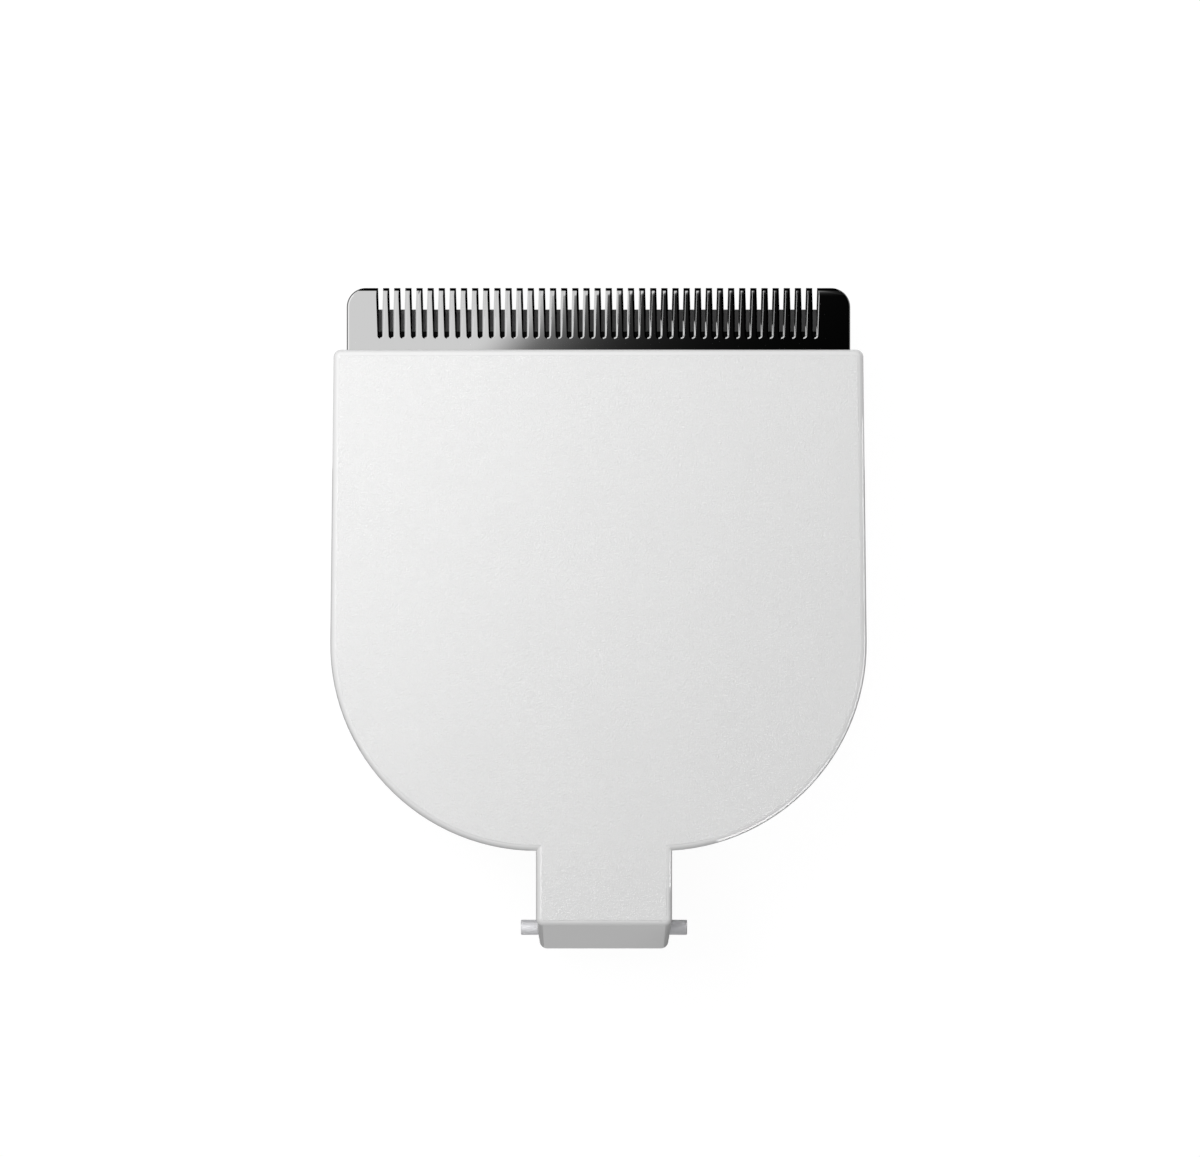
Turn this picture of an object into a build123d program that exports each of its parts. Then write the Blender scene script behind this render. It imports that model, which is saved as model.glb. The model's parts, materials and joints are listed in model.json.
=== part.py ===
from build123d import *
from math import acos, atan, atan2, cos, degrees, hypot, pi, radians, sin, tan
import os

# Blade head of a hair clipper, lying on its back rim with its front face up.
# X runs across the head, Y from the tongue to the teeth, Z from the back rim to the front face.
# The origin is the middle of the overall box, on the back rim. Sizes are in millimetres, angles in degrees.

# Housing shell
housing_length = 39.8
housing_depth = 9.0
flank_lean = 0.65
corner_radius = 16.4
front_wall = 1.2
side_wall = 0.9
edge_round = 0.5
top_corner_extra = 0.1

# Tongue that carries the hinge pin
tongue_length = 7.8
tongue_width = 10.87
tongue_offset = 0.44
tongue_depth = 5.0
tongue_draft = 3.4
tongue_end_run = 1.97
tongue_corner = 0.6
tongue_wall = 1.2

# Hinge pin
pin_diameter = 1.2
pin_stand_out = 1.17
pin_from_end = 1.7
pin_above_back = 1.3
pin_end_round = 0.1
pin_press_diameter = 1.54
pin_shoulder_inset = 0.05
pin_clearance = 0.01

# Fixed comb
comb_width = 40.0
comb_length = 19.8
comb_thickness = 0.6
comb_reach = 4.9
comb_side_clearance = 0.13
comb_corner = 1.5
comb_edge_round = 0.22
tooth_pitch = 0.884
tooth_offset = -0.07
tooth_width = 0.584
tooth_tip_width = 0.494
tooth_tip_taper = 1.5
tooth_length = 3.93
tooth_bevel_tip = 0.23
tooth_bevel_root = 0.1
tooth_bevel_slope = 33.0
corner_tooth = 2.75
tip_slope_length = 0.65
tip_slope_drop = 0.025
tip_bevel_length = 0.22
tip_bevel_drop = 0.2

# Sliding cutter
cutter_thickness = 0.5
cutter_setback = 1.7
cutter_side_margin = 0.4
cutter_rear_clearance = 0.55
cutter_tooth_width = 0.5
cutter_tooth_length = 3.2
cutter_front_land = 1.75
cutter_rear_land = 2.0
cutter_relief = 0.12
cutter_film = 0.02
cutter_stroke = 1.2

# Carrier that drives the cutter
carrier_length = 5.5
carrier_thickness = 1.48
carrier_from_rear = 1.0
carrier_corner = 1.0
carrier_end_wall = 0.85
rivet_diameter = 2.0
rivet_spacing = 15.0
rivet_short = 0.1
rivet_clearance = 0.03
drive_slot_width = 4.4
drive_slot_length = 6.4
drive_slot_roof = 0.8
tower_side_wall = 1.4
tower_end_wall = 1.0
tower_depth = 4.1
tower_corner = 0.8
tower_clearance = 1.0
guide_diameter = 1.8
guide_clearance = 0.05
guide_short = 0.2

# Retainer that clamps the comb and guides the carrier
arm_thickness = 1.4
arm_gap = 0.4
arm_leg_clearance = 0.7
arm_edge = 1.4
arm_side_margin = 0.5
arm_corner = 1.0
clamp_bar_length = 3.0
clamp_bar_thickness = 1.5
clamp_gap = 0.1
sleeve_wall = 0.85

# Screw bosses of the housing, and the screws
boss_from_side = 5.0
boss_from_comb_rear = 3.15
boss_diameter = 4.0
boss_clearance = 0.05
boss_floor = 0.3
screw_diameter = 1.9
screw_tip_gap = 0.1
screw_clearance = 0.05
screw_hole_clearance = 0.2
screw_head_diameter = 3.6
screw_head_height = 1.1
screw_head_round = 0.4
screw_recess_width = 0.5
screw_recess_length = 2.0
screw_recess_depth = 0.6

# Double torsion spring and its pegs
wire_diameter = 0.6
coil_inner_diameter = 2.0
coil_turn_count = 4
coil_pitch = 0.63
coil_behind_comb = 2.4
coil_end_gap = 0.3
foot_under_carrier = 1.55
foot_length = 2.8
foot_bend = 0.9
loop_reach = 6.0
loop_bend = 1.0
spring_film = 0.02
peg_clearance = 0.05
lug_wall = 0.4
lug_thickness = 0.9
lug_root_height = 0.7
lug_spacing = 9.8

# Ribs and catches inside the shell
comb_stop_width = 24.0
comb_stop_thickness = 0.8
comb_stop_height = 0.9
comb_stop_clearance = 0.05
rib_thickness = 0.8
rib_height = 1.4
rib_loop_clearance = 2.6
catch_length = 5.0
catch_height = 1.2
catch_proud = 0.35
catch_above_rim = 1.0
catch_below_comb = 4.0

# Heights along Z, from the front wall's inner face backwards
seat_z = housing_depth - front_wall
comb_back_z = seat_z - comb_thickness
cutter_face_z = comb_back_z - cutter_film
cutter_back_z = cutter_face_z - cutter_thickness
carrier_back_z = cutter_back_z - carrier_thickness
tower_back_z = cutter_back_z - tower_depth
arm_front_z = carrier_back_z - arm_gap
arm_back_z = arm_front_z - arm_thickness
boss_end_z = arm_front_z + clamp_gap
clamp_bar_back_z = comb_back_z - clamp_bar_thickness
tongue_back_z = housing_depth - tongue_depth
pin_z = tongue_back_z + pin_above_back

# Places along Y
overall_length = comb_reach + housing_length + tongue_length
tip_y = overall_length / 2
top_y = tip_y - comb_reach
bottom_y = top_y - housing_length
corner_y = bottom_y + corner_radius
tongue_root_y = bottom_y + side_wall
tongue_end_y = bottom_y - tongue_length
pin_y = tongue_end_y + pin_from_end
comb_rear_y = tip_y - comb_length
boss_y = comb_rear_y + boss_from_comb_rear
sleeve_radius = boss_diameter / 2 + boss_clearance + sleeve_wall
cutter_edge_y = tip_y - cutter_setback
cutter_rear_y = boss_y + sleeve_radius + cutter_rear_clearance
carrier_y = cutter_rear_y + carrier_from_rear + carrier_length / 2
tower_length = drive_slot_length + 2 * tower_end_wall
tower_y = comb_rear_y + clamp_bar_length + tower_clearance + tower_length / 2
coil_y = comb_rear_y - coil_behind_comb
loop_y = coil_y - loop_reach

# Places across X
flank_slope = tan(radians(flank_lean))
boss_x = comb_width / 2 - boss_from_side
corner_x = (
    comb_width / 2
    + comb_side_clearance
    + side_wall
    - corner_radius * cos(radians(flank_lean))
    + (top_y - corner_y - corner_radius * sin(radians(flank_lean))) * flank_slope
)
tongue_back_width = tongue_width - 2 * tongue_depth * tan(radians(tongue_draft))
pin_length = tongue_width + 2 * pin_stand_out
tongue_width_at_pin = tongue_width - 2 * (housing_depth - pin_z) * tan(radians(tongue_draft))
pin_press_length = tongue_width_at_pin - 2 * pin_shoulder_inset
tower_width = drive_slot_width + 2 * tower_side_wall

# Gaps between the teeth
gap_count = 1 + int((comb_width - 2 * corner_tooth) / tooth_pitch)
gap_width = tooth_pitch - tooth_width
gap_mouth_width = tooth_pitch - tooth_tip_width
cutter_gap_width = tooth_pitch - cutter_tooth_width
cutter_width = comb_width - 2 * (cutter_stroke + cutter_side_margin)
bevel_outline_width = gap_width + 2 * tooth_bevel_tip
bevel_cut_depth = (tooth_bevel_tip + gap_width / 4) * tan(radians(tooth_bevel_slope))
bevel_drop = (tooth_bevel_tip - tooth_bevel_root) * tan(radians(tooth_bevel_slope))
bevel_run_out = degrees(atan(bevel_drop / tooth_length))

# Spring: the legs leave the coils level, and the loop climbs at the angle that meets the front wall
coil_radius = (coil_inner_diameter + wire_diameter) / 2
coil_lead = atan(coil_pitch / (2 * pi * coil_radius))
leg_z = carrier_back_z - spring_film - wire_diameter / 2
coil_z = leg_z - coil_radius
loop_z = seat_z - spring_film - wire_diameter / 2
loop_distance = hypot(loop_reach, loop_z - coil_z)
loop_climb = degrees(acos(coil_radius / loop_distance) - atan2(loop_reach, loop_z - coil_z))
coil_length = coil_pitch * (coil_turn_count - loop_climb / 360)
lug_outer_x = lug_spacing / 2
coil_inner_x = lug_outer_x + coil_end_gap + wire_diameter / 2
coil_outer_x = coil_inner_x + coil_length
leg_length = (cutter_rear_y + carrier_from_rear + foot_under_carrier - coil_y) / cos(coil_lead)
knee_x = coil_outer_x + leg_length * sin(coil_lead)
peg_radius = coil_inner_diameter / 2 - peg_clearance
peg_length = coil_length + wire_diameter + 2 * coil_end_gap

# Guides: the arms stand outside the spring's legs, and their pins limit the stroke
guide_slot_width = guide_diameter + 2 * guide_clearance
guide_slot_length = guide_diameter + 2 * (cutter_stroke + guide_clearance)
arm_inner_x = knee_x + wire_diameter / 2 + arm_leg_clearance
arm_outer_x = boss_x + sleeve_radius + arm_side_margin
guide_x = arm_inner_x + arm_edge + guide_diameter / 2
carrier_width = 2 * guide_x + guide_slot_length + 2 * carrier_end_wall
arm_front_y = carrier_y + guide_diameter / 2 + arm_edge
arm_rear_y = boss_y - sleeve_radius


def head_outline(inset, top):
    """The head's outline seen from the front, moved inwards by inset and ended at the given top."""
    radius = corner_radius - inset
    base = corner_y - radius
    with BuildSketch() as outline:
        with BuildLine():
            floor = Line((0, base), (corner_x, base))
            corner = JernArc(floor @ 1, (1, 0), radius, 90 + flank_lean)
            rise = top - (corner @ 1).Y
            flank = Line(corner @ 1, (corner @ 1) + (-rise * flank_slope, rise))
            Line(flank @ 1, (0, top))
            mirror(about=Plane.YZ)
        make_face()
    return outline.sketch


def gap_outline(width, depth):
    """One straight gap between two teeth: its root rounded at Y -depth, its mouth open past Y 0."""
    with BuildSketch() as outline:
        with Locations((0, width / 2 - depth)):
            Circle(width / 2)
            Rectangle(width, depth, align=(Align.CENTER, Align.MIN))
    return outline.sketch


os.makedirs("parts", exist_ok=True)

# Head housing: one moulding with the tongue, the screw bosses and the ribs
with BuildPart() as head_housing:
    with BuildSketch():
        add(head_outline(0, top_y))
    extrude(amount=housing_depth)
    fillet(head_housing.edges().filter_by(Axis.Z).group_by(Axis.Y)[-1], edge_round + top_corner_extra)

    # The tongue narrows towards the back, and its end slants out behind the front face
    with BuildSketch(Plane.XY.offset(housing_depth)):
        with Locations((tongue_offset, tongue_root_y)):
            Rectangle(
                tongue_width,
                tongue_root_y - tongue_end_y - tongue_end_run,
                align=(Align.CENTER, Align.MAX),
            )
    with BuildSketch(Plane.XY.offset(tongue_back_z)):
        with Locations((tongue_offset, tongue_root_y)):
            Rectangle(tongue_back_width, tongue_root_y - tongue_end_y, align=(Align.CENTER, Align.MAX))
    loft()
    tongue_end = head_housing.faces().sort_by(Axis.Y)[0]
    fillet(tongue_end.edges().group_by(SortBy.LENGTH)[0], tongue_corner)
    fillet(head_housing.faces().sort_by(Axis.Z)[-1].edges(), edge_round)

    # Hollow of the shell, open at the back and at the blade end
    with BuildSketch():
        add(head_outline(side_wall, top_y + side_wall))
    extrude(amount=seat_z, mode=Mode.SUBTRACT)

    # Cored back of the tongue, with a solid bar left around the pin's bore
    core_end_y = pin_y + pin_press_diameter / 2 + tongue_wall
    with BuildSketch(Plane.XY.offset(tongue_back_z)):
        with Locations((tongue_offset, bottom_y)):
            Rectangle(
                tongue_back_width - 2 * tongue_wall,
                bottom_y - core_end_y,
                align=(Align.CENTER, Align.MAX),
            )
    extrude(amount=seat_z - tongue_back_z, mode=Mode.SUBTRACT)
    with BuildSketch(Plane.YZ.offset(tongue_offset)):
        with Locations((pin_y, pin_z)):
            Circle(pin_press_diameter / 2 + pin_clearance)
    extrude(amount=pin_length / 2, both=True, mode=Mode.SUBTRACT)

    # Screw bosses, which also locate the comb
    with BuildSketch(Plane.XY.offset(seat_z)):
        with Locations((0, boss_y)):
            with GridLocations(2 * boss_x, 0, 2, 1):
                Circle(boss_diameter / 2)
    extrude(amount=boss_end_z - seat_z)
    with BuildSketch(Plane.XY.offset(boss_end_z)):
        with Locations((0, boss_y)):
            with GridLocations(2 * boss_x, 0, 2, 1):
                Circle(screw_diameter / 2 + screw_clearance)
    extrude(amount=seat_z - boss_floor - boss_end_z, mode=Mode.SUBTRACT)

    # Stop behind the comb, and two ribs in line with the tongue's sides
    with BuildSketch(Plane.XY.offset(seat_z)):
        with Locations((0, comb_rear_y - comb_stop_clearance)):
            Rectangle(comb_stop_width, comb_stop_thickness, align=(Align.CENTER, Align.MAX))
    extrude(amount=-comb_stop_height)
    with BuildSketch(Plane.XY.offset(seat_z)):
        with Locations((tongue_offset, loop_y - rib_loop_clearance)):
            with GridLocations(tongue_width - rib_thickness, 0, 2, 1):
                Rectangle(
                    rib_thickness,
                    loop_y - rib_loop_clearance - bottom_y - side_wall / 2,
                    align=(Align.CENTER, Align.MAX),
                )
    extrude(amount=-rib_height)

    # Snap catches on the inner faces of the flanks
    catch_y = comb_rear_y - catch_below_comb
    catch_wall_x = comb_width / 2 + comb_side_clearance + (top_y - catch_y) * flank_slope
    with BuildSketch(Plane.XZ.offset(-catch_y)):
        with BuildLine():
            Polyline(
                (catch_wall_x + side_wall / 2, catch_above_rim),
                (catch_wall_x, catch_above_rim),
                (catch_wall_x - catch_proud, catch_above_rim + catch_height / 2),
                (catch_wall_x, catch_above_rim + catch_height),
                (catch_wall_x + side_wall / 2, catch_above_rim + catch_height),
                close=True,
            )
        make_face()
        mirror(about=Plane.YZ)
    extrude(amount=catch_length / 2, both=True)

head_housing.part.label = "head_housing"
export_step(head_housing.part, "parts/head_housing.step")

# Hinge pin: a rod pressed through the tongue, with both ends turned down and standing out
with BuildPart() as hinge_pin:
    with BuildSketch(Plane.YZ.offset(tongue_offset)):
        with Locations((pin_y, pin_z)):
            Circle(pin_diameter / 2)
    extrude(amount=pin_length / 2, both=True)
    fillet(hinge_pin.edges().filter_by(GeomType.CIRCLE), pin_end_round)
    with BuildSketch(Plane.YZ.offset(tongue_offset)):
        with Locations((pin_y, pin_z)):
            Circle(pin_press_diameter / 2)
    extrude(amount=pin_press_length / 2, both=True)

hinge_pin.part.label = "hinge_pin"
export_step(hinge_pin.part, "parts/hinge_pin.step")

# Fixed comb: a flat ground plate with fine round-bottomed gaps
with BuildPart() as comb_blade:
    with BuildSketch(Plane.XY.offset(comb_back_z)):
        with Locations((0, tip_y)):
            Rectangle(comb_width, comb_length, align=(Align.CENTER, Align.MAX))
        with Locations((0, boss_y)):
            with GridLocations(2 * boss_x, 0, 2, 1):
                Circle(boss_diameter / 2 + boss_clearance, mode=Mode.SUBTRACT)
    extrude(amount=comb_thickness)
    fillet(comb_blade.edges().filter_by(Axis.Z).group_by(Axis.Y)[-1], comb_corner)
    comb_rim = comb_blade.faces().sort_by(Axis.Z)[-1].outer_wire().edges().sort_by(Axis.Y)
    fillet(comb_rim[1:-1], comb_edge_round)

    # Two grinds across the tips: a long shallow slope and a short steep bevel
    with BuildSketch(Plane.YZ):
        with BuildLine():
            Polyline(
                (tip_y - tip_slope_length, seat_z),
                (tip_y - tip_bevel_length, seat_z - tip_slope_drop),
                (tip_y, seat_z - tip_slope_drop - tip_bevel_drop),
                (tip_y, seat_z),
                close=True,
            )
        make_face()
    extrude(amount=comb_width / 2, both=True, mode=Mode.SUBTRACT)

    # Gaps between the teeth, then the bevels along both sides of every tooth
    with BuildSketch(Plane.XY.offset(seat_z)):
        with Locations((tooth_offset, tip_y)):
            with GridLocations(tooth_pitch, 0, gap_count, 1):
                add(gap_outline(gap_width, tooth_length))
                Polygon(
                    (-gap_width / 2, -tooth_tip_taper),
                    (gap_width / 2, -tooth_tip_taper),
                    (gap_mouth_width / 2, 0),
                    (gap_mouth_width / 2, gap_width / 2),
                    (-gap_mouth_width / 2, gap_width / 2),
                    (-gap_mouth_width / 2, 0),
                    align=None,
                )
    extrude(amount=-comb_thickness, mode=Mode.SUBTRACT)
    with BuildSketch(Plane((tooth_offset, tip_y, seat_z)).rotated((-bevel_run_out, 0, 0))):
        with GridLocations(tooth_pitch, 0, gap_count, 1):
            add(gap_outline(bevel_outline_width, tooth_length + tooth_bevel_tip))
    extrude(amount=-bevel_cut_depth, taper=90 - tooth_bevel_slope, mode=Mode.SUBTRACT)

comb_blade.part.label = "comb_blade"
export_step(comb_blade.part, "parts/comb_blade.step")

# Sliding cutter: one tooth behind each gap of the comb, and a relief between two bearing lands
with BuildPart() as cutter_blade:
    with BuildSketch(Plane.XY.offset(cutter_back_z)):
        with Locations((0, cutter_edge_y)):
            Rectangle(cutter_width, cutter_edge_y - cutter_rear_y, align=(Align.CENTER, Align.MAX))
        with Locations((0, carrier_y)):
            with GridLocations(rivet_spacing, 0, 2, 1):
                Circle(rivet_diameter / 2 + rivet_clearance, mode=Mode.SUBTRACT)
    extrude(amount=cutter_thickness)
    relief_front_y = cutter_edge_y - cutter_front_land
    with BuildSketch(Plane.XY.offset(cutter_face_z)):
        with Locations((0, relief_front_y)):
            Rectangle(
                cutter_width,
                relief_front_y - cutter_rear_y - cutter_rear_land,
                align=(Align.CENTER, Align.MAX),
            )
    extrude(amount=-cutter_relief, mode=Mode.SUBTRACT)
    with BuildSketch(Plane.XY.offset(cutter_face_z)):
        with Locations((tooth_offset, cutter_edge_y)):
            with GridLocations(tooth_pitch, 0, gap_count - 1, 1):
                add(gap_outline(cutter_gap_width, cutter_tooth_length))
    extrude(amount=-cutter_thickness, mode=Mode.SUBTRACT)

cutter_blade.part.label = "cutter_blade"
export_step(cutter_blade.part, "parts/cutter_blade.step")

# Carrier: a bar riveted to the cutter, with guide slots at its ends and the drive slot in its tower
with BuildPart() as cutter_carrier:
    with BuildSketch(Plane.XY.offset(cutter_back_z)):
        with Locations((0, carrier_y)):
            RectangleRounded(carrier_width, carrier_length, carrier_corner)
            with GridLocations(2 * guide_x, 0, 2, 1):
                SlotOverall(guide_slot_length, guide_slot_width, mode=Mode.SUBTRACT)
    extrude(amount=-carrier_thickness)
    with BuildSketch(Plane.XY.offset(cutter_back_z)):
        with Locations((0, tower_y)):
            RectangleRounded(tower_width, tower_length, tower_corner)
    extrude(amount=-tower_depth)
    with BuildSketch(Plane.XY.offset(tower_back_z)):
        with Locations((0, tower_y)):
            Rectangle(drive_slot_width, drive_slot_length)
    extrude(amount=tower_depth - drive_slot_roof, mode=Mode.SUBTRACT)
    with BuildSketch(Plane.XY.offset(cutter_back_z)):
        with Locations((0, carrier_y)):
            with GridLocations(rivet_spacing, 0, 2, 1):
                Circle(rivet_diameter / 2)
    extrude(amount=cutter_thickness - cutter_relief - rivet_short)

cutter_carrier.part.label = "cutter_carrier"
export_step(cutter_carrier.part, "parts/cutter_carrier.step")

# Retainer: a frame screwed to the bosses, which clamps the comb, guides the carrier and carries the spring
with BuildPart() as blade_retainer:
    with BuildSketch(Plane.XY.offset(arm_back_z)):
        with Locations((0, arm_front_y)):
            with GridLocations(arm_inner_x + arm_outer_x, 0, 2, 1):
                Rectangle(
                    arm_outer_x - arm_inner_x,
                    arm_front_y - arm_rear_y,
                    align=(Align.CENTER, Align.MAX),
                )
    extrude(amount=arm_thickness)
    fillet(blade_retainer.edges().filter_by(Axis.Z), arm_corner)
    with BuildSketch(Plane.XY.offset(comb_back_z)):
        with Locations((0, comb_rear_y)):
            Rectangle(2 * boss_x, clamp_bar_length, align=(Align.CENTER, Align.MIN))
    extrude(amount=-clamp_bar_thickness)

    # Sleeves around the housing's bosses, with the screw holes
    with BuildSketch(Plane.XY.offset(comb_back_z)):
        with Locations((0, boss_y)):
            with GridLocations(2 * boss_x, 0, 2, 1):
                Circle(sleeve_radius)
    extrude(amount=arm_back_z - comb_back_z)
    with BuildSketch(Plane.XY.offset(comb_back_z)):
        with Locations((0, boss_y)):
            with GridLocations(2 * boss_x, 0, 2, 1):
                Circle(boss_diameter / 2 + boss_clearance)
    extrude(amount=arm_front_z - comb_back_z, mode=Mode.SUBTRACT)
    with BuildSketch(Plane.XY.offset(arm_back_z)):
        with Locations((0, boss_y)):
            with GridLocations(2 * boss_x, 0, 2, 1):
                Circle(screw_diameter / 2 + screw_hole_clearance)
    extrude(amount=arm_thickness, mode=Mode.SUBTRACT)

    # Guide pins that stand in the carrier's slots
    with BuildSketch(Plane.XY.offset(arm_front_z)):
        with Locations((0, carrier_y)):
            with GridLocations(2 * guide_x, 0, 2, 1):
                Circle(guide_diameter / 2)
    extrude(amount=cutter_back_z - guide_short - arm_front_z)

    # Lugs that reach back from the clamp bar, with the pegs of the spring's coils
    with BuildSketch(Plane.YZ.offset(lug_outer_x)):
        with Locations((coil_y, coil_z)):
            Circle(peg_radius + lug_wall)
        with Locations((comb_rear_y, clamp_bar_back_z)):
            Rectangle(clamp_bar_length, lug_root_height, align=(Align.MIN, Align.MIN))
        make_hull()
    lug = extrude(amount=-lug_thickness)
    with BuildSketch(Plane.YZ.offset(lug_outer_x)):
        with Locations((coil_y, coil_z)):
            Circle(peg_radius)
    peg = extrude(amount=peg_length)
    mirror([lug, peg], about=Plane.YZ)

blade_retainer.part.label = "blade_retainer"
export_step(blade_retainer.part, "parts/blade_retainer.step")

# Retainer screws: two alike, driven from the back into the bosses
with BuildPart() as retainer_screws:
    with BuildSketch(Plane.XY.offset(arm_back_z)):
        with Locations((boss_x, boss_y)):
            Circle(screw_diameter / 2)
    extrude(amount=seat_z - boss_floor - screw_tip_gap - arm_back_z)
    with BuildSketch(Plane.XY.offset(arm_back_z)):
        with Locations((boss_x, boss_y)):
            Circle(screw_head_diameter / 2)
    extrude(amount=-screw_head_height)
    fillet(retainer_screws.edges().sort_by(Axis.Z)[0], screw_head_round)
    with BuildSketch(Plane.XY.offset(arm_back_z - screw_head_height)):
        with Locations((boss_x, boss_y)):
            Rectangle(screw_recess_length, screw_recess_width)
            Rectangle(screw_recess_width, screw_recess_length)
    extrude(amount=screw_recess_depth, mode=Mode.SUBTRACT)
    mirror(about=Plane.YZ)

retainer_screws.part.label = "retainer_screws"
export_step(retainer_screws.part, "parts/retainer_screws.step")

# Pressure spring: one wire, with a coil on each peg, legs behind the carrier and a loop on the front wall
with BuildPart() as pressure_spring:
    with BuildLine() as wire_line:
        turns = Helix(
            coil_pitch,
            coil_length,
            coil_radius,
            (coil_outer_x, coil_y, coil_z),
            (-1, 0, 0),
            lefthand=True,
            mode=Mode.PRIVATE,
        )
        coil = turns.rotate(Axis((0, coil_y, coil_z), (1, 0, 0)), 180)
        add(coil)
        knee = (coil @ 0) - (coil % 0) * leg_length
        FilletPolyline(knee - (foot_length, 0, 0), knee, coil @ 0, radius=foot_bend)
        loop_run = (loop_z - (coil @ 1).Z) / (coil % 1).Z
        loop_corner = (coil @ 1) + (coil % 1) * loop_run
        FilletPolyline(coil @ 1, loop_corner, (0, loop_corner.Y, loop_corner.Z), radius=loop_bend)
    wire = wire_line.wire()
    with BuildSketch(Plane(origin=wire @ 0, z_dir=wire % 0)):
        Circle(wire_diameter / 2)
    sweep(path=wire)
    mirror(about=Plane.YZ)

pressure_spring.part.label = "pressure_spring"
export_step(pressure_spring.part, "parts/pressure_spring.step")
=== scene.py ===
import bmesh
import bpy
import json
from math import radians
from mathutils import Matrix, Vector

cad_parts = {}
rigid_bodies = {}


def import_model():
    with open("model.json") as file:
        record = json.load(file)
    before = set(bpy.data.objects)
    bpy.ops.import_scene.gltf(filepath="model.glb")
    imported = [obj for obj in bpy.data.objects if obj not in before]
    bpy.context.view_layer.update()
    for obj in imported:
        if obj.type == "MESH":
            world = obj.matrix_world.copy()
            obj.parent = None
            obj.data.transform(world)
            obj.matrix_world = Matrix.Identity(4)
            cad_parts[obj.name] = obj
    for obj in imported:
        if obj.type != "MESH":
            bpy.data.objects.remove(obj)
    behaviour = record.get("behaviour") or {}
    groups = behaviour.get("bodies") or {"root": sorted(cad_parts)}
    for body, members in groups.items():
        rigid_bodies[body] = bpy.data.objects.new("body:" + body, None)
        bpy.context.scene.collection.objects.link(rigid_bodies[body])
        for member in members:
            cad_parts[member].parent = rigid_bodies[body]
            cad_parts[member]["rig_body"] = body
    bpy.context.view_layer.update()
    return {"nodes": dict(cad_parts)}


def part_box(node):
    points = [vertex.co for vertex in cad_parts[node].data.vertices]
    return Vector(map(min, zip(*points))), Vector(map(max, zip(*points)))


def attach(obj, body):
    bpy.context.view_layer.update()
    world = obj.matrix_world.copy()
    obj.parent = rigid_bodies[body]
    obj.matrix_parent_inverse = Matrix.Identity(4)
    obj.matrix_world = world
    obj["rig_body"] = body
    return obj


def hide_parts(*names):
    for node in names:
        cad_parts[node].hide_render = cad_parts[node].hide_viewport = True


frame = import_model()

# The upper far corners of the two blades' boxes
comb_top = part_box("comb_blade")[1]
cutter_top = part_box("cutter_blade")[1]

# The photograph: its width in pixels, its scale at the comb's face, the point under its middle, its camera
PHOTO_WIDTH = 1200
PIXELS_PER_METRE = 12590.0
VIEW_CENTRE = (0.00012, 0.00318)
CAMERA_HEIGHT = 2.5
SENSOR_WIDTH = 36.0

# Mesh work: the distance that is welded, the angle that counts as flat, and the angles that stay sharp
WELD = 1e-7
FLAT = radians(0.05)
SHARP = radians(25)
COMB_SHARP = radians(11.5)

# The comb's teeth: how far a bevel's inner edge is rolled over, and how such an edge's two faces stand
TOOTH_ROLL = 0.000015
ROLL_STEPS = 4
FACE_UP = 0.995
BEVEL_UP = (0.8, 0.88)
BEVEL_LEFT = -0.3

# Places of painted dark: painted dark reflections on the grind across the comb's tips and on its steep
# walls, and painted shade on the floor of the cutter's relief
TIP_GRIND = 0.00022
TIP_BLEND = 0.00001
WALL_LEVELS = (0.77, 0.81)
CUTTER_RELIEF = 0.00012
RELIEF_BLEND = (0.00002, 0.00004)

# Noise: cells as long as they are wide, and how many clouds lie along a metre of plastic and of steel
EVEN = (1, 1, 1)
PLASTIC_CLOUDS = 160
STEEL_CLOUDS = 220

# Moulded plastic: how level a face is where its grain starts and is full, and the gloss of rims and clouds
GRAIN_LEVELS = (0.992, 0.999)
RIM_ROUGHNESS = 0.1
CLOUD_ROUGHNESS = 0.1

# Worked steel: the share of its lines in its tone, and how its roughness changes from line to line
LINE_SHARE = 0.6
LINE_LEAST = 0.8
LINE_SWING = 0.4

# The studio: the floor as matte surfaces meet it, the floor as it is seen, and the light from above
FLOOR_HALF = 3.0
FLOOR_TONE = 0.2
FLOOR_BOUNCE = 0.09
SEEN_TONE = 0.1
SEEN_GLOW = 0.94
SKY_LIGHT = 0.952

# The graded card over the comb: its outline, the slanted line where it turns dark, and how it falls off
OVERHEAD_RISE = 0.1
OVERHEAD_OUTLINE = [
    (-0.018, 0.0145),
    (0.01, -0.01),
    (0.45, -0.01),
    (0.45, 0.33),
    (0.03, 0.33),
    (0.03, 0.17),
    (0.003, 0.17),
    (0.003, 0.036),
]
SLANT_START = 0.0294
SLANT_TURN = 0.037
SLANT_BLEND = (-0.0035, 0.0022)
FALL_OFF = 0.004
FALL_POWER = 2.5
DARK_SIDE = 0.25

# The cards at both ends of the studio
END_DISTANCE = 0.5
END_HALF = 1.0
END_BOTTOM = -0.01

# The card for the bevels: its place across, its reach before and past the tips, and its rise over the comb
BEVEL_CARD_PLACE = -0.015
BEVEL_CARD_BEFORE = 0.0017
BEVEL_CARD_PAST = 0.004
BEVEL_CARD_BOTTOM = 0.0087
BEVEL_CARD_TOP = 0.018

# The cards for the rims: the height of the level ones, and the line that the upright ones follow
RIM_CARD_HEIGHT = 0.1
RIM_LINE = [(0.0303, 0.016), (0.0303, 0.0), (0.0253, -0.0128), (0.0141, -0.0204), (0.0105, -0.0213)]
RIM_LINE_BOTTOM = 0.0076
RIM_LINE_TOP = 0.0112

# The cards on the floor, which part at the tongue's sides
TONGUE_LEFT = -0.0055
TONGUE_RIGHT = 0.0063
FLOOR_CARD_HALF = 0.06
FLOOR_CARD_FRONT = -0.07
FLOOR_CARD_BACK = 0.012
FLOOR_CARD_HEIGHT = 0.0003

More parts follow.
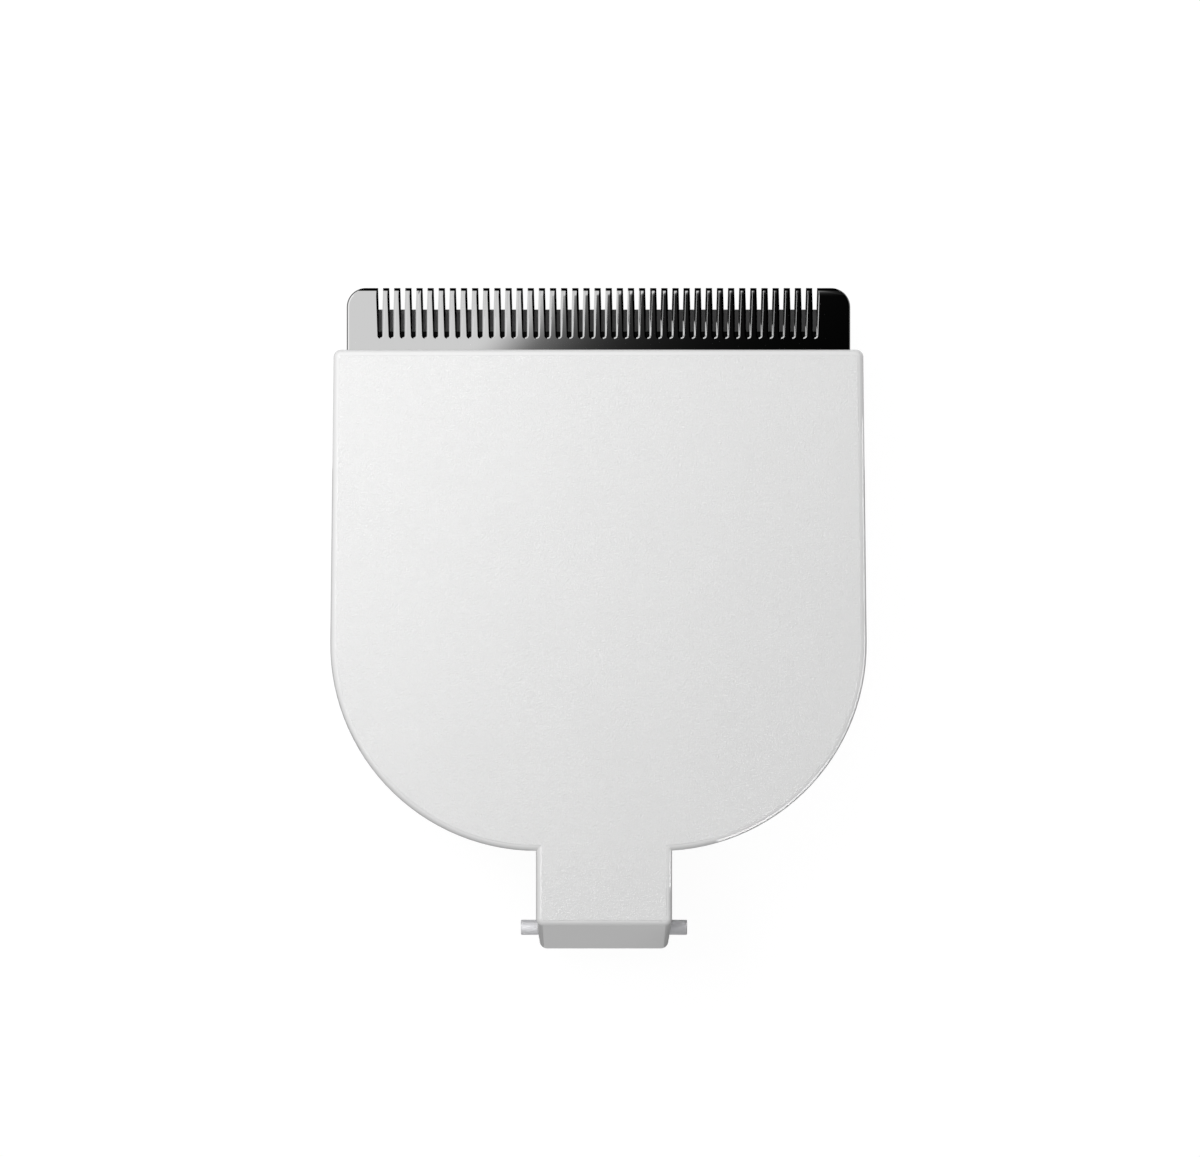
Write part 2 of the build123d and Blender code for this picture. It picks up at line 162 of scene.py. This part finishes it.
# The cards around the right end of the pin
PIN_CARD_LEFT = 0.0062
PIN_CARD_RIGHT = 0.0125
PIN_CARD_FRONT = -0.031
PIN_CARD_BACK = -0.0215
PIN_CARD_BOTTOM = 0.0002
PIN_CARD_TOP = 0.0095


class Value:
    """An output socket that takes part in plain arithmetic: each operation adds one Math node."""

    def __init__(self, tree, socket):
        self.tree = tree
        self.socket = socket

    def math(self, operation, first, second=0.0):
        return add_node(self.tree, "Math", {"operation": operation}, {0: first, 1: second})

    def __add__(self, other):
        return self.math("ADD", self, other)

    __radd__ = __add__

    def __mul__(self, other):
        return self.math("MULTIPLY", self, other)

    __rmul__ = __mul__

    def __sub__(self, other):
        return self.math("SUBTRACT", self, other)

    def __rsub__(self, other):
        return self.math("SUBTRACT", other, self)

    def __truediv__(self, other):
        return self.math("DIVIDE", self, other)

    def __rtruediv__(self, other):
        return self.math("DIVIDE", other, self)

    def __pow__(self, other):
        return self.math("POWER", self, other)

    def __abs__(self):
        return self.math("ABSOLUTE", self)

    def at_least(self, limit):
        return self.math("MAXIMUM", self, limit)

    def at_most(self, limit):
        return self.math("MINIMUM", self, limit)


def add_node(tree, kind, settings=None, inputs=None, output=0):
    """Adds one node: its settings first, then the values or links of its sockets. Returns one output."""
    node = tree.nodes.new("ShaderNode" + kind)
    for name, setting in (settings or {}).items():
        setattr(node, name, setting)
    for name, given in (inputs or {}).items():
        if isinstance(given, Value):
            tree.links.new(given.socket, node.inputs[name])
        else:
            node.inputs[name].default_value = given
    return Value(tree, node.outputs[output])


def step(tree, value, low, high):
    """Runs smoothly from 0 to 1 as the value goes from low to high."""
    settings = {"interpolation_type": "SMOOTHSTEP"}
    return add_node(tree, "MapRange", settings, {"Value": value, "From Min": low, "From Max": high})


def mix_colours(tree, share, first, second):
    """A colour between two, by the share of the second."""
    return add_node(tree, "Mix", {"data_type": "RGBA"}, {0: share, 6: first, 7: second}, 2)


def coordinate(tree, axis):
    """A point's place along one axis of the frame."""
    point = add_node(tree, "TexCoord", None, None, "Object")
    return add_node(tree, "SeparateXYZ", None, {0: point}, axis)


def levelness(tree):
    """1 on level faces of a piece, and 0 on upright ones."""
    facing = add_node(tree, "TexCoord", None, None, "Normal")
    return abs(add_node(tree, "SeparateXYZ", None, {0: facing}, "Z"))


def stretched_noise(tree, stretch, scale, detail=2.0, roughness=0.5):
    """Noise over the piece's own coordinates, with its cells drawn out by the stretch."""
    point = add_node(tree, "TexCoord", None, None, "Object")
    drawn = add_node(tree, "Mapping", None, {"Vector": point, "Scale": stretch})
    inputs = {"Vector": drawn, "Scale": scale, "Detail": detail, "Roughness": roughness}
    return add_node(tree, "TexNoise", None, inputs)


def bump(tree, height, distance, strength):
    """A surface normal roughened by a height."""
    return add_node(tree, "Bump", None, {"Height": height, "Distance": distance, "Strength": strength})


def grey(level, tint=0.0):
    """A neutral colour, made a little bluer by the tint."""
    return (level, level, level + tint, 1.0)


def empty_material(name):
    """A material without nodes, and the tree to fill."""
    material = bpy.data.materials.new(name)
    material.use_nodes = True
    material.node_tree.nodes.clear()
    return material, material.node_tree


def close(tree, shader, kind="Material"):
    """Links a finished shader to the tree's output."""
    output = tree.nodes.new("ShaderNodeOutput" + kind)
    tree.links.new(shader.socket, output.inputs["Surface"])


def moulded_plastic(name, colour, shade, roughness, grain, grain_depth):
    """Moulded plastic: spark grain on level faces, smoother rims, and a faint cloudiness all over."""
    material, tree = empty_material(name)
    cloud = stretched_noise(tree, EVEN, PLASTIC_CLOUDS, detail=3)
    spark = stretched_noise(tree, EVEN, grain, roughness=0.6)
    face = step(tree, levelness(tree), *GRAIN_LEVELS)
    uneven = CLOUD_ROUGHNESS * face * (cloud - 0.5)
    inputs = {
        "Base Color": mix_colours(tree, cloud, colour, shade),
        "Roughness": RIM_ROUGHNESS + (roughness - RIM_ROUGHNESS) * face + uneven,
        "Normal": bump(tree, spark * face, distance=grain_depth, strength=0.5),
    }
    close(tree, add_node(tree, "BsdfPrincipled", None, inputs))
    return material


def worked_steel(name, light, dark, roughness, lines, scale, depth, shade=None, metal=1.0, gloss=0.5):
    """Steel with the lines of its last working. The shade, if any, is a function that paints darker places
    onto it: painted shade in the cutter's relief and painted dark reflections on the comb.
    """
    material, tree = empty_material(name)
    scratch = stretched_noise(tree, lines, scale, detail=4, roughness=0.6)
    cloud = stretched_noise(tree, EVEN, STEEL_CLOUDS)
    share = LINE_SHARE * scratch + (1 - LINE_SHARE) * cloud
    tone = mix_colours(tree, share, dark, light)
    inputs = {
        "Base Color": shade(tree, tone) if shade else tone,
        "Metallic": metal,
        "Specular IOR Level": gloss,
        "Roughness": roughness * (LINE_LEAST + LINE_SWING * scratch),
        "Normal": bump(tree, scratch, distance=depth, strength=0.4),
    }
    close(tree, add_node(tree, "BsdfPrincipled", None, inputs))
    return material


def paint_dark_reflections(tree, tone):
    """Painted dark reflections: a darker steel colour on the comb's steep walls and on the grind across its
    tips, which stands in for dark surroundings mirrored there.
    """
    # painted dark reflection: the near-black grey given to the steep walls and the tip grind
    painted_dark_tone = grey(0.09)
    tip = comb_top.y - TIP_GRIND
    tone = mix_colours(tree, step(tree, levelness(tree), *WALL_LEVELS), painted_dark_tone, tone)
    past_tip = step(tree, coordinate(tree, "Y"), tip - TIP_BLEND, tip + TIP_BLEND)
    return mix_colours(tree, past_tip, tone, painted_dark_tone)


def paint_relief_shade(tree, tone):
    """Painted shade: a nearly black steel colour on the floor of the cutter's relief, a recess that lies in
    shade.
    """
    floor = cutter_top.z - CUTTER_RELIEF
    away = abs(coordinate(tree, "Z") - floor)
    # painted shade: the near-black grey on the floor of the relief
    return mix_colours(tree, step(tree, away, *RELIEF_BLEND), grey(0.012), tone)


def add_object(name, shell, material):
    """Makes an object of a finished bmesh, with one material."""
    mesh = bpy.data.meshes.new(name)
    shell.to_mesh(mesh)
    shell.free()
    mesh.materials.append(material)
    made = bpy.data.objects.new(name, mesh)
    bpy.context.scene.collection.objects.link(made)
    return made


def roll_edges(shell):
    """Rounds the inner edge of each tooth bevel on its left side, where grinding rolls it over."""
    rolled = []
    for edge in shell.edges:
        upper, lower = sorted(edge.link_faces, key=lambda face: -face.normal.z)[:2]
        faces_left = lower.normal.x < BEVEL_LEFT
        if upper.normal.z > FACE_UP and faces_left and BEVEL_UP[0] < lower.normal.z < BEVEL_UP[1]:
            rolled.append(edge)
    bmesh.ops.bevel(
        shell, geom=rolled, offset=TOOTH_ROLL, segments=ROLL_STEPS, profile=0.5, affect="EDGES", material=-1
    )


def smooth_copy(node, name, material, sharp=SHARP, finish=None):
    """A welded copy of a CAD node, shaded smooth between its real edges, that stands for the node."""
    shell = bmesh.new()
    shell.from_mesh(frame["nodes"][node].data)
    bmesh.ops.remove_doubles(shell, verts=shell.verts, dist=WELD)
    bmesh.ops.dissolve_limit(shell, angle_limit=FLAT, verts=shell.verts, edges=shell.edges)
    if finish:
        finish(shell)
    for face in shell.faces:
        face.smooth = True
    for edge in shell.edges:
        edge.smooth = len(edge.link_faces) == 2 and edge.calc_face_angle() < sharp
    piece = add_object(name, shell, material)
    even = piece.modifiers.new("even_normals", "WEIGHTED_NORMAL")
    even.mode = "FACE_AREA"
    even.weight = 100
    even.keep_sharp = True
    body = frame["nodes"][node]["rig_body"]
    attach(piece, body)
    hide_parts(node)


# Plastics
white_plastic = moulded_plastic(
    "white_plastic", colour=grey(0.83), shade=grey(0.81), roughness=0.36, grain=6800, grain_depth=0.00017
)
grey_plastic = moulded_plastic(
    "grey_plastic", colour=grey(0.55), shade=grey(0.52), roughness=0.4, grain=4200, grain_depth=0.00001
)
black_plastic = moulded_plastic(
    "black_plastic", colour=grey(0.03), shade=grey(0.022), roughness=0.38, grain=4200, grain_depth=0.00001
)

# Steels
ground_steel = worked_steel(
    "ground_steel",
    light=grey(0.61),
    dark=grey(0.595),
    roughness=0.03,
    lines=(1, 0.02, 1),
    scale=9000,
    depth=0.00000003,
    shade=paint_dark_reflections,
)
cutter_steel = worked_steel(
    "cutter_steel",
    light=grey(0.175),
    dark=grey(0.15),
    roughness=0.55,
    lines=(1, 0.04, 1),
    scale=6000,
    depth=0.000001,
    shade=paint_relief_shade,
    metal=0.15,
    gloss=0.1,
)
pin_steel = worked_steel(
    "pin_steel",
    light=grey(0.84, tint=0.02),
    dark=grey(0.79, tint=0.02),
    roughness=0.6,
    lines=(1, 0.05, 0.05),
    scale=7000,
    depth=0.000001,
    metal=0.5,
)
spring_steel = worked_steel(
    "spring_steel", light=grey(0.5), dark=grey(0.42), roughness=0.26, lines=EVEN, scale=2500, depth=0.000001
)
screw_steel = worked_steel(
    "screw_steel", light=grey(0.5), dark=grey(0.44), roughness=0.33, lines=EVEN, scale=3000, depth=0.000001
)

# Pieces
smooth_copy("head_housing", "moulded_housing", white_plastic)
smooth_copy("hinge_pin", "turned_pin", pin_steel)
smooth_copy("comb_blade", "ground_comb", ground_steel, COMB_SHARP, roll_edges)
smooth_copy("cutter_blade", "ground_cutter", cutter_steel)
smooth_copy("cutter_carrier", "moulded_carrier", black_plastic)
smooth_copy("blade_retainer", "moulded_retainer", grey_plastic)
smooth_copy("retainer_screws", "driven_screws", screw_steel)
smooth_copy("pressure_spring", "wound_spring", spring_steel)


def white_to_sight(tree):
    """1 for rays that come straight, mirrored or refracted from the camera, and 0 for the others."""
    camera = add_node(tree, "LightPath", None, None, "Is Camera Ray")
    mirrored = add_node(tree, "LightPath", None, None, "Is Glossy Ray")
    refracted = add_node(tree, "LightPath", None, None, "Is Transmission Ray")
    return camera.at_least(mirrored).at_least(refracted)


def make_floor():
    """A white floor that keeps a faint shadow, and that is clear from below."""
    material, tree = empty_material("floor_white")
    plain = add_node(tree, "BsdfDiffuse", None, {"Color": grey(FLOOR_TONE)})
    bounce = add_node(tree, "Emission", None, {"Color": grey(1.0), "Strength": FLOOR_BOUNCE})
    lit = add_node(tree, "AddShader", None, {0: plain, 1: bounce})
    shaded = add_node(tree, "BsdfDiffuse", None, {"Color": grey(SEEN_TONE)})
    glow = add_node(tree, "Emission", None, {"Color": grey(1.0), "Strength": SEEN_GLOW})
    seen = add_node(tree, "AddShader", None, {0: shaded, 1: glow})
    top = add_node(tree, "MixShader", None, {0: white_to_sight(tree), 1: lit, 2: seen})
    clear = add_node(tree, "BsdfTransparent")
    below = add_node(tree, "NewGeometry", None, None, "Backfacing")
    close(tree, add_node(tree, "MixShader", None, {0: below, 1: top, 2: clear}))
    material.cycles.emission_sampling = "NONE"
    shell = bmesh.new()
    bmesh.ops.create_grid(shell, x_segments=1, y_segments=1, size=FLOOR_HALF)
    add_object("floor", shell, material)


def make_world():
    """A white studio: white to the eye and in mirrors, and a weaker light on everything, most from above."""
    world = bpy.data.worlds.new("studio")
    bpy.context.scene.world = world
    world.use_nodes = True
    world.cycles.sampling_method = "NONE"
    tree = world.node_tree
    tree.nodes.clear()
    seen = white_to_sight(tree)
    direction = add_node(tree, "TexCoord", None, None, "Generated")
    height = add_node(tree, "SeparateXYZ", None, {0: direction}, "Z")
    strength = seen + (1 - seen) * (SKY_LIGHT * height.at_least(0.0))
    close(tree, add_node(tree, "Background", None, {"Color": grey(1.0), "Strength": strength}), "World")


def graded(tree):
    """The overhead card's grey: white before its slanted line, and ever darker past it."""
    past = coordinate(tree, "X") - coordinate(tree, "Y").at_most(SLANT_TURN) + SLANT_START
    far = past.at_least(0.0) / FALL_OFF
    dim = DARK_SIDE / (1 + far**FALL_POWER)
    return 1 - step(tree, past, *SLANT_BLEND) * (1 - dim)


def level_card(left, right, front, back, height):
    """The corners of a level card."""
    return [(left, front, height), (right, front, height), (right, back, height), (left, back, height)]


def upright_card(start, end, bottom, top):
    """The corners of a card that stands over the line between two points of the floor."""
    return [(*start, bottom), (*end, bottom), (*end, top), (*start, top)]


def make_card(name, corners, level, in_mirrors=True, on_matte=False):
    """A card of the studio: it shows in mirrors, on matte surfaces or both, but never straight."""
    material, tree = empty_material(name)
    colour = level(tree) if callable(level) else grey(level)
    close(tree, add_node(tree, "Emission", None, {"Color": colour, "Strength": 1.0}))
    material.cycles.emission_sampling = "NONE"
    shell = bmesh.new()
    shell.faces.new([shell.verts.new(corner) for corner in corners])
    card = add_object(name, shell, material)
    card.visible_camera = False
    card.visible_glossy = in_mirrors
    card.visible_diffuse = on_matte
    card.visible_transmission = False
    card.visible_shadow = False


def make_comb_cards():
    """Cards that the comb mirrors: a graded one above its face, and dark ones for tips and bevels."""
    height = comb_top.z + OVERHEAD_RISE
    make_card("overhead_flag", [(*point, height) for point in OVERHEAD_OUTLINE], graded)
    left = (-END_HALF, END_DISTANCE)
    right = (END_HALF, END_DISTANCE)
    make_card("end_flag", upright_card(left, right, bottom=END_BOTTOM, top=0.14), level=0.002)
    before = (BEVEL_CARD_PLACE, comb_top.y - BEVEL_CARD_BEFORE)
    past = (BEVEL_CARD_PLACE, comb_top.y + BEVEL_CARD_PAST)
    bottom = comb_top.z + BEVEL_CARD_BOTTOM
    top = comb_top.z + BEVEL_CARD_TOP
    make_card("bevel_flag", upright_card(before, past, bottom, top), level=0.02)


def make_rim_cards():
    """Cards that draw light and dark lines along the rims."""
    left = (-END_HALF, -END_DISTANCE)
    right = (END_HALF, -END_DISTANCE)
    make_card("front_flag", upright_card(left, right, bottom=END_BOTTOM, top=0.5), level=0.4)
    near = level_card(left=-0.06, right=-0.027, front=-0.035, back=0.015, height=RIM_CARD_HEIGHT)
    make_card("edge_card", near, level=7.0)
    far = level_card(left=-0.13, right=-0.05, front=0.016, back=0.12, height=RIM_CARD_HEIGHT)
    make_card("rim_card", far, level=1.5)
    for number, (start, end) in enumerate(zip(RIM_LINE, RIM_LINE[1:])):
        stretch = upright_card(start, end, RIM_LINE_BOTTOM, RIM_LINE_TOP)
        make_card(f"rim_line_{number}", stretch, level=9.0)


def make_floor_cards():
    """Cards on the floor: dark beside the tongue, pale in line with it, and a light under the back."""
    reach = {"front": FLOOR_CARD_FRONT, "back": FLOOR_CARD_BACK, "height": FLOOR_CARD_HEIGHT}
    make_card("floor_left", level_card(-FLOOR_CARD_HALF, TONGUE_LEFT, **reach), level=0.2)
    make_card("floor_front", level_card(TONGUE_LEFT, TONGUE_RIGHT, **reach), level=0.86)
    make_card("floor_right", level_card(TONGUE_RIGHT, FLOOR_CARD_HALF, **reach), level=0.2)
    under = level_card(left=-0.016, right=0.016, front=-0.008, back=0.014, height=0.0002)
    make_card("inside_glow", under, level=0.7, in_mirrors=False, on_matte=True)


def make_pin_cards():
    """Three grey cards that keep the right end of the pin darker than the left one."""
    front_left = (PIN_CARD_LEFT, PIN_CARD_FRONT)
    front_right = (PIN_CARD_RIGHT, PIN_CARD_FRONT)
    back_right = (PIN_CARD_RIGHT, PIN_CARD_BACK)
    heights = {"bottom": PIN_CARD_BOTTOM, "top": PIN_CARD_TOP}
    roof = level_card(PIN_CARD_LEFT, PIN_CARD_RIGHT, PIN_CARD_FRONT, PIN_CARD_BACK, PIN_CARD_TOP)
    make_card("pin_flag", roof, level=0.3, on_matte=True)
    make_card("pin_apron", upright_card(front_left, front_right, **heights), level=0.25)
    make_card("pin_side", upright_card(front_right, back_right, **heights), level=0.25)


def make_lamp(name, place, aim, width, length, watts):
    """A soft lamp at a place, turned to its aim, that shows in no mirror."""
    light = bpy.data.lights.new(name, "AREA")
    light.shape = "RECTANGLE"
    light.size = width
    light.size_y = length
    light.energy = watts
    lamp = bpy.data.objects.new(name, light)
    lamp.location = place
    lamp.rotation_euler = (Vector(aim) - Vector(place)).to_track_quat("-Z", "Y").to_euler()
    lamp.visible_glossy = False
    bpy.context.scene.collection.objects.link(lamp)


def make_lamps():
    """A long key lamp at the upper left, and a weak fill lamp past the teeth on the right."""
    key_line = 0.0381
    make_lamp(
        "key", place=(-0.045, key_line, 0.07), aim=(0, key_line, 0), width=0.1, length=0.025, watts=0.0298
    )
    make_lamp(
        "fill", place=(0.03, 0.1, 0.05), aim=(0.015, 0.018, 0.008), width=0.03, length=0.03, watts=0.015
    )


def make_camera():
    """The photograph's camera, straight above the head with the teeth up."""
    data = bpy.data.cameras.new("camera")
    data.sensor_width = SENSOR_WIDTH
    data.lens = PIXELS_PER_METRE * CAMERA_HEIGHT * SENSOR_WIDTH / PHOTO_WIDTH
    data.clip_start = 0.01
    data.clip_end = 10
    camera = bpy.data.objects.new("camera", data)
    camera.location = (*VIEW_CENTRE, comb_top.z + CAMERA_HEIGHT)
    bpy.context.scene.collection.objects.link(camera)
    bpy.context.scene.camera = camera


# Studio
make_floor()
make_world()
make_comb_cards()
make_rim_cards()
make_floor_cards()
make_pin_cards()
make_lamps()
make_camera()
bpy.context.scene.view_settings.view_transform = "Standard"
